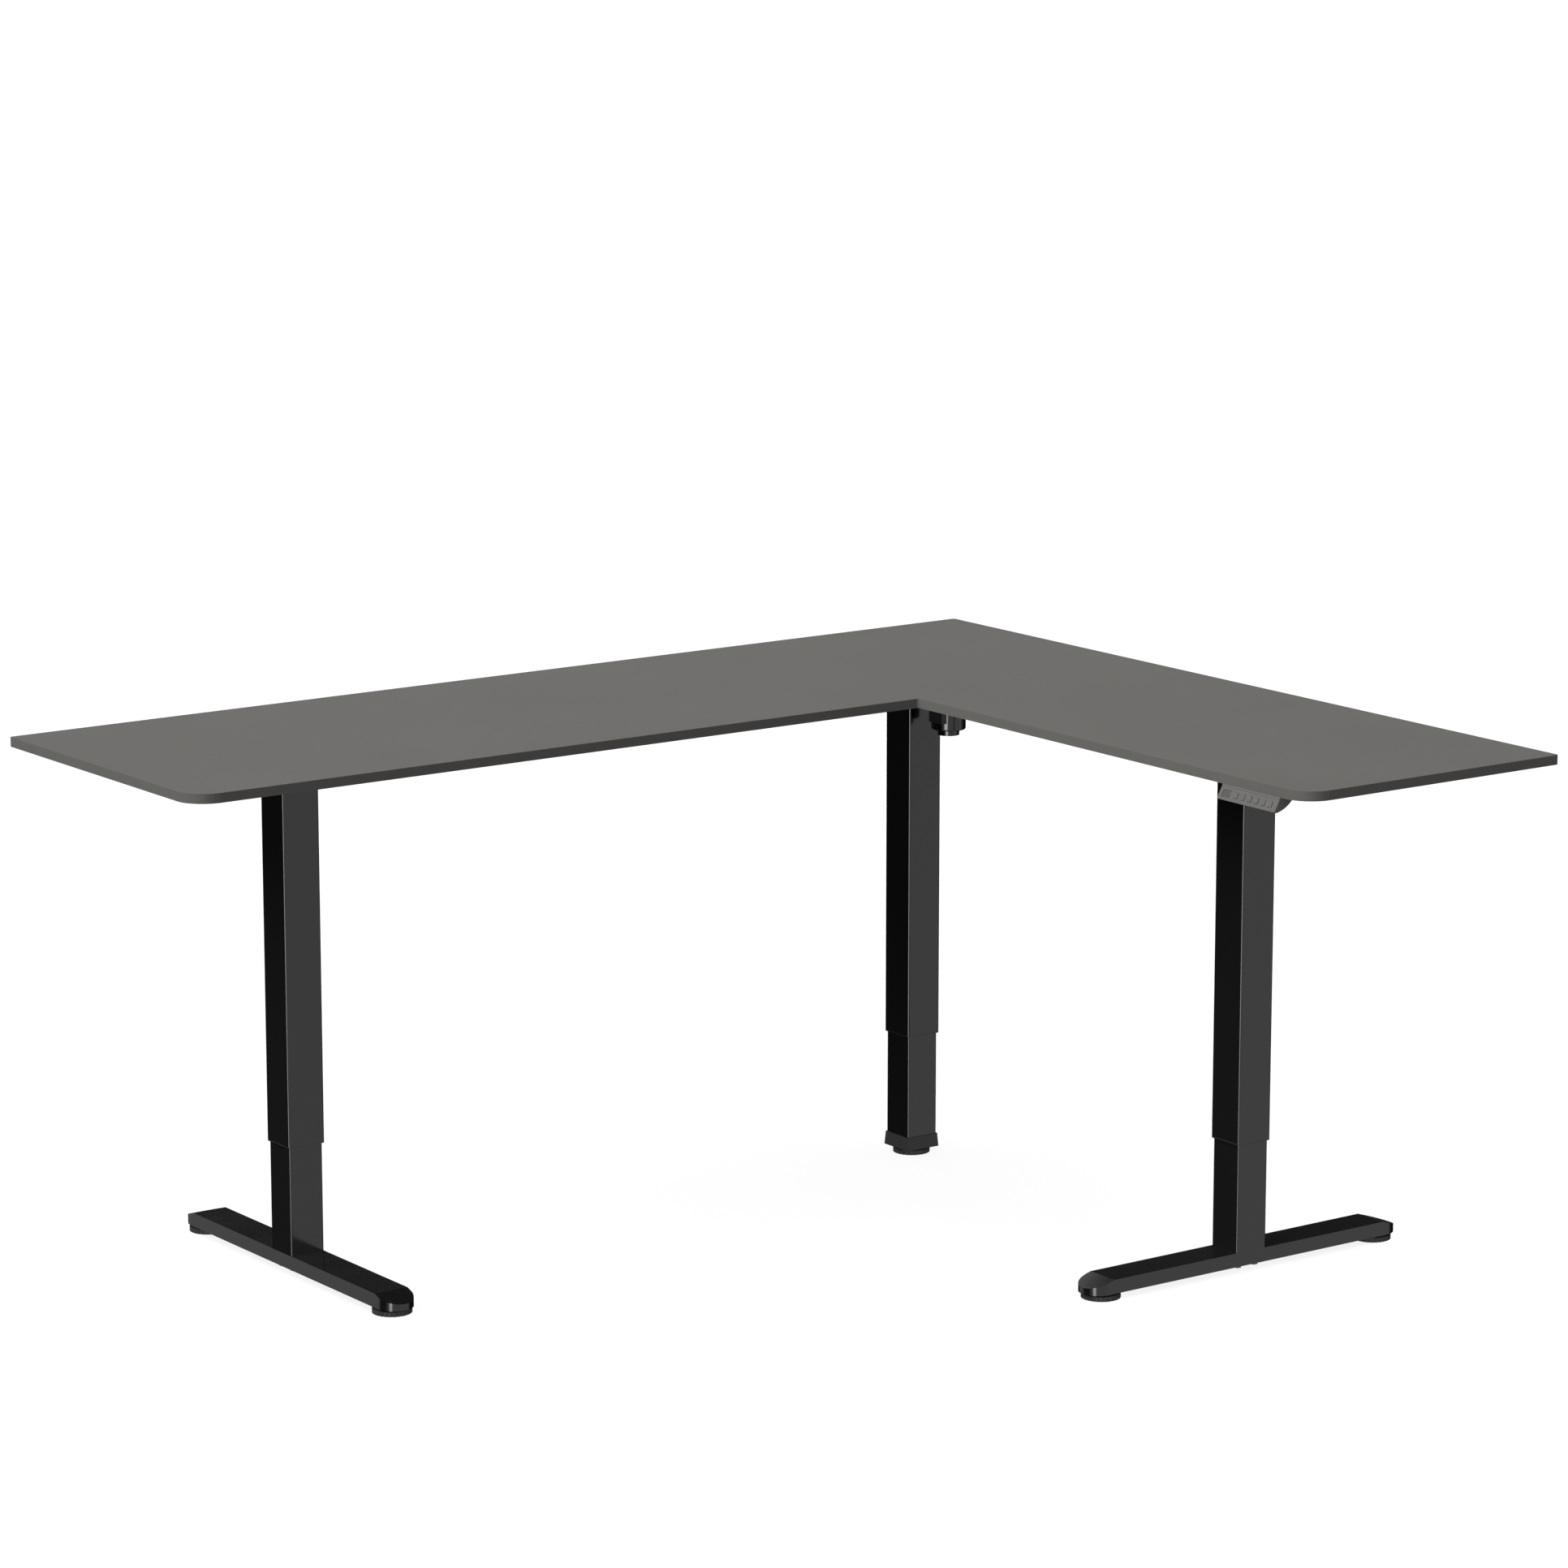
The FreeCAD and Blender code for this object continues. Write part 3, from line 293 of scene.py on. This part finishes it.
# sections on the handset's face: how far down it and how far out of it
STEP_SECTION = ((0.2 * MM, -0.3 * MM), (0.2 * MM, 0.45 * MM), (2.9 * MM, 0.45 * MM), (3.4 * MM, -0.3 * MM))
STEP_FROM_END = 0.2 * MM
RIM_SUNK = -0.2 * MM
RIM_PROUD = 0.35 * MM

# screw heads: the dome's shoulder is a share of its radius and of its rise, its lip one of the socket
HEAD_SIDES = 24
HEAD_SUNK = 0.2 * MM
SHOULDER_OUT = 0.8
SHOULDER_RISE = 0.7
SOCKET_LIP = 1.1
WOOD_SCREW_HEAD = {
    "rise": 0.8 * MM, "rim": 0.3 * MM, "socket_radius": 1.9 * MM, "socket_sides": 4, "socket_depth": 0.9 * MM,
}
FRAME_BOLT_HEAD = {
    "rise": 0.4 * MM, "rim": 0.6 * MM, "socket_radius": 2.6 * MM, "socket_sides": 6, "socket_depth": 0.8 * MM,
}


def islands(node):
    """The boxes (low, high) of the separate solids in one CAD node, in order of place."""
    mesh = nodes[node].data
    shape = bmesh.new()
    shape.from_mesh(mesh)
    bmesh.ops.remove_doubles(shape, verts=shape.verts, dist=1e-6)
    left = set(shape.verts)
    found = []
    while left:
        stack = [left.pop()]
        points = [stack[0].co.copy()]
        while stack:
            for edge in stack.pop().link_edges:
                for vertex in edge.verts:
                    if vertex in left:
                        left.discard(vertex)
                        stack.append(vertex)
                        points.append(vertex.co.copy())
        low = Vector([min(p[i] for p in points) for i in range(3)])
        high = Vector([max(p[i] for p in points) for i in range(3)])
        found.append((low, high))
    shape.free()
    return sorted(found, key=lambda box: tuple(box[0]))


def piece_from(shape, name, body, material_slot):
    """A mesh object from a bmesh, riding on a body and dressed from a material slot."""
    mesh = bpy.data.meshes.new(name)
    bmesh.ops.recalc_face_normals(shape, faces=shape.faces)
    shape.to_mesh(mesh)
    shape.free()
    piece = bpy.data.objects.new(name, mesh)
    bpy.context.scene.collection.objects.link(piece)
    mesh.materials.append(MATERIALS[material_slot])
    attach(piece, body)


def ring(shape, x, y, z, radius_at):
    """A level ring of vertices round (x, y, z); radius_at gives the radius at an angle."""
    loop = []
    for i in range(HEAD_SIDES):
        angle = 2 * math.pi * i / HEAD_SIDES
        radius = radius_at(angle)
        loop.append(shape.verts.new((x + radius * math.cos(angle), y + radius * math.sin(angle), z)))
    return loop


def lens_head(shape, x, y, z, radius, rise, rim, socket_radius, socket_sides, socket_depth):
    """A domed screw head that faces down from height z, with a socket sunk in its middle."""
    corner = math.pi / socket_sides

    def socket_at(angle):
        return socket_radius * (math.cos(corner) / math.cos((angle % (2 * corner)) - corner))

    dome = (
        (radius, 0.0),
        (radius, -rim),
        (radius * SHOULDER_OUT, -rim - rise * SHOULDER_RISE),
        (socket_radius * SOCKET_LIP, -rim - rise),
    )
    loops = [ring(shape, x, y, z + down, lambda angle, r=r: r) for r, down in dome]
    for down in (-rim - rise, -rim - rise + socket_depth):
        loops.append(ring(shape, x, y, z + down, socket_at))
    for lower, upper in zip(loops, loops[1:]):
        for i in range(HEAD_SIDES):
            j = (i + 1) % HEAD_SIDES
            shape.faces.new((lower[i], lower[j], upper[j], upper[i]))
    shape.faces.new(loops[-1])
    shape.faces.new(list(reversed(loops[0])))


def make_heads(name, node, share, head):
    """Domed, socketed heads over a CAD node's plain ones, as wide as a share of them."""
    shape = bmesh.new()
    for low, high in islands(node):
        middle = (low + high) / 2
        radius = (high.x - low.x) / 2
        lens_head(shape, middle.x, middle.y, low.z + HEAD_SUNK, radius * share, **head)
    piece_from(shape, name, "desktop", "zinc_fasteners")


def extruded(shape, outline, y0, y1):
    """A bar along Y with an (x, z) outline."""
    near = [shape.verts.new((x, y0, z)) for x, z in outline]
    far = [shape.verts.new((x, y1, z)) for x, z in outline]
    count = len(outline)
    for i in range(count):
        j = (i + 1) % count
        shape.faces.new((near[i], near[j], far[j], far[i]))
    shape.faces.new(near)
    shape.faces.new(list(reversed(far)))


def make_handset_details():
    """A slim step along the top of the handset's face and a frame round its display."""
    shell_low, shell_high = (Vector(corner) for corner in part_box("handset_shell"))
    glass_low, glass_high = (Vector(corner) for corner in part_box("handset_display"))
    top = Vector((shell_low.x + FACE_OUT, 0.0, shell_high.z))
    down = Vector((-FACE_OUT, 0.0, -FACE_DROP)).normalized()
    out = Vector((down.z, 0.0, -down.x))

    def on_face(origin, section):
        points = [origin + down * along + out * proud for along, proud in section]
        return [(point.x, point.z) for point in points]

    step = bmesh.new()
    extruded(step, on_face(top, STEP_SECTION), shell_low.y + STEP_FROM_END, shell_high.y - STEP_FROM_END)
    piece_from(step, "handset_step", "desktop", "handset_plastic")

    display_frame = bmesh.new()
    middle = (glass_low + glass_high) / 2
    face_middle = top + down * (middle - top).dot(down)
    half_y = (glass_high.y - glass_low.y) / 2
    half_down = DISPLAY_HALF_HEIGHT
    rim = DISPLAY_RIM
    # each bar's reach down the face and along Y: above, below and at the two ends of the display
    bars = (
        (-half_down - rim, -half_down, -half_y - rim, half_y + rim),
        (half_down, half_down + rim, -half_y - rim, half_y + rim),
        (-half_down, half_down, -half_y - rim, -half_y),
        (-half_down, half_down, half_y, half_y + rim),
    )
    for d0, d1, y0, y1 in bars:
        section = ((d0, RIM_SUNK), (d0, RIM_PROUD), (d1, RIM_PROUD), (d1, RIM_SUNK))
        extruded(display_frame, on_face(face_middle, section), middle.y + y0, middle.y + y1)
    piece_from(display_frame, "handset_display_frame", "desktop", "handset_plastic")


dress_cad_nodes()
ease_edges()
make_heads("wood_screw_heads", "wood_screws", share=0.96, head=WOOD_SCREW_HEAD)
make_heads("frame_bolt_sockets", "frame_bolts", share=0.97, head=FRAME_BOLT_HEAD)
make_handset_details()

# ---------------------------------------------------------------- camera
# millimetres, degrees and metres; the camera looks down by its pitch and has no roll
LENS = 126.72
SENSOR_WIDTH = 36.0
CAMERA_YAW = 35.852
CAMERA_PITCH = 11.478
CAMERA_AT = Vector((-5.1645, -7.1719, 2.6261))

camera_data = bpy.data.cameras.new("camera")
camera_data.lens = LENS
camera_data.sensor_width = SENSOR_WIDTH
camera_data.clip_start = 0.1
camera_data.clip_end = 400.0
camera = bpy.data.objects.new("camera", camera_data)
camera.location = CAMERA_AT
camera.rotation_euler = (math.radians(90 - CAMERA_PITCH), 0.0, math.radians(-CAMERA_YAW))
bpy.context.scene.collection.objects.link(camera)
bpy.context.scene.camera = camera

# ---------------------------------------------------------------- floor and light
# The floor has suns of its own and is hidden from the desk's gloss and bounced light, so that it
# stays pale and even. The desk has one large sun from above its -X side, and every node named for
# a foot or a glide has a weak second one from low behind. The world does the rest.
FLOOR_HALF_SIZE = 150.0
FLOOR_DROP = 0.2 * MM
WHITE = (1.0, 1.0, 1.0)
# the world's strength for diffuse rays, for gloss between the panels and for the camera
SOFT_FILL = 0.15
GLOSS_FILL = 0.03
BACKDROP = 1.0
# Panels that only gloss sees: direction, cosine where the soft edge starts and ends, brightness.
# A wide one on the -Y side, a narrow bright one between -X and -Y, a small one high between +X
# and +Y, and a dim broad one high behind.
PANELS = (
    ((-0.12, -0.98, -0.15), 0.20, 0.60, 0.95),
    ((-0.79, -0.57, -0.15), 0.975, 0.992, 8.0),
    ((0.42, 0.72, 0.55), 0.992, 0.997, 4.0),
    ((-0.30, 0.62, 0.72), 0.80, 0.97, 0.35),
)


def make_floor():
    """A wide pale floor, a hair under the glides, hidden from gloss and bounced light."""
    shape = bmesh.new()
    bmesh.ops.create_grid(shape, x_segments=1, y_segments=1, size=FLOOR_HALF_SIZE)
    mesh = bpy.data.meshes.new("floor")
    shape.to_mesh(mesh)
    shape.free()
    floor = bpy.data.objects.new("floor", mesh)
    floor.location = (0, 0, -FLOOR_DROP)
    bpy.context.scene.collection.objects.link(floor)
    material, _, shader = new_material("pale_floor", (0.8, 0.8, 0.8), roughness=0.9)
    shader.inputs["Specular IOR Level"].default_value = 0.0
    mesh.materials.append(material)
    floor.visible_diffuse = False
    floor.visible_glossy = False
    floor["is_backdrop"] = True
    return floor


def group_of(name, objects):
    """A collection that lights can be limited to; it isn't part of the scene."""
    group = bpy.data.collections.new(name)
    for item in objects:
        group.objects.link(item)
    return group


def make_sun(name, towards_light, strength, angle, lit, shadows=True):
    """A soft light from a direction, falling only on a group of objects."""
    data = bpy.data.lights.new(name, "SUN")
    data.energy = strength
    data.angle = math.radians(angle)
    data.use_shadow = shadows
    light = bpy.data.objects.new(name, data)
    direction = Vector(towards_light).normalized()
    light.rotation_mode = "QUATERNION"
    light.rotation_quaternion = direction.to_track_quat("Z", "Y")
    bpy.context.scene.collection.objects.link(light)
    light.light_linking.receiver_collection = lit


def make_world():
    """Surroundings that are white to the camera, even and dim to diffuse rays, and panels to gloss."""
    world = bpy.data.worlds.new("studio")
    bpy.context.scene.world = world
    world.use_nodes = True
    tree = world.node_tree
    background = tree.nodes["Background"]
    texture = tree.nodes.new("ShaderNodeTexCoord")
    total = None
    for direction, outside, inside, brightness in PANELS:
        dot = tree.nodes.new("ShaderNodeVectorMath")
        dot.operation = "DOT_PRODUCT"
        dot.inputs[1].default_value = Vector(direction).normalized()
        tree.links.new(texture.outputs["Generated"], dot.inputs[0])
        facing = dot.outputs["Value"]
        panel = remap(tree, facing, low=0.0, high=brightness, from_low=outside, from_high=inside)
        if total is None:
            total = panel
        else:
            add = tree.nodes.new("ShaderNodeMath")
            add.operation = "ADD"
            tree.links.new(total, add.inputs[0])
            tree.links.new(panel, add.inputs[1])
            total = add.outputs[0]
    path = tree.nodes.new("ShaderNodeLightPath")
    gloss = tree.nodes.new("ShaderNodeMath")
    gloss.operation = "ADD"
    gloss.inputs[1].default_value = GLOSS_FILL
    tree.links.new(total, gloss.inputs[0])
    choose = tree.nodes.new("ShaderNodeMix")
    tree.links.new(path.outputs["Is Glossy Ray"], choose.inputs["Factor"])
    choose.inputs["A"].default_value = SOFT_FILL
    tree.links.new(gloss.outputs[0], choose.inputs["B"])
    backdrop = tree.nodes.new("ShaderNodeMix")
    tree.links.new(path.outputs["Is Camera Ray"], backdrop.inputs["Factor"])
    tree.links.new(choose.outputs["Result"], backdrop.inputs["A"])
    backdrop.inputs["B"].default_value = BACKDROP
    tree.links.new(backdrop.outputs["Result"], background.inputs["Strength"])
    background.inputs["Color"].default_value = (*WHITE, 1.0)


floor = make_floor()
desk_group = group_of("desk_lit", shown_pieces())
floor_group = group_of("floor_lit", [floor])
low_group = group_of("low_lit", [nodes[name] for name in nodes if "foot" in name or "glide" in name])
make_world()
make_sun("key", (-0.645, 0.05, 0.76), strength=4.35, angle=50, lit=desk_group)
make_sun("low_bounce", (-0.50, 0.84, -0.20), strength=0.19, angle=40, lit=low_group, shadows=False)
make_sun("floor_light", (0.0, 0.0, 1.0), strength=3.4, angle=20, lit=floor_group, shadows=False)
make_sun("floor_soft_shadow", (-0.15, -0.1, 1.0), strength=0.45, angle=80, lit=floor_group)
bpy.context.scene.view_settings.view_transform = "Standard"
bpy.context.scene.view_settings.look = "None"
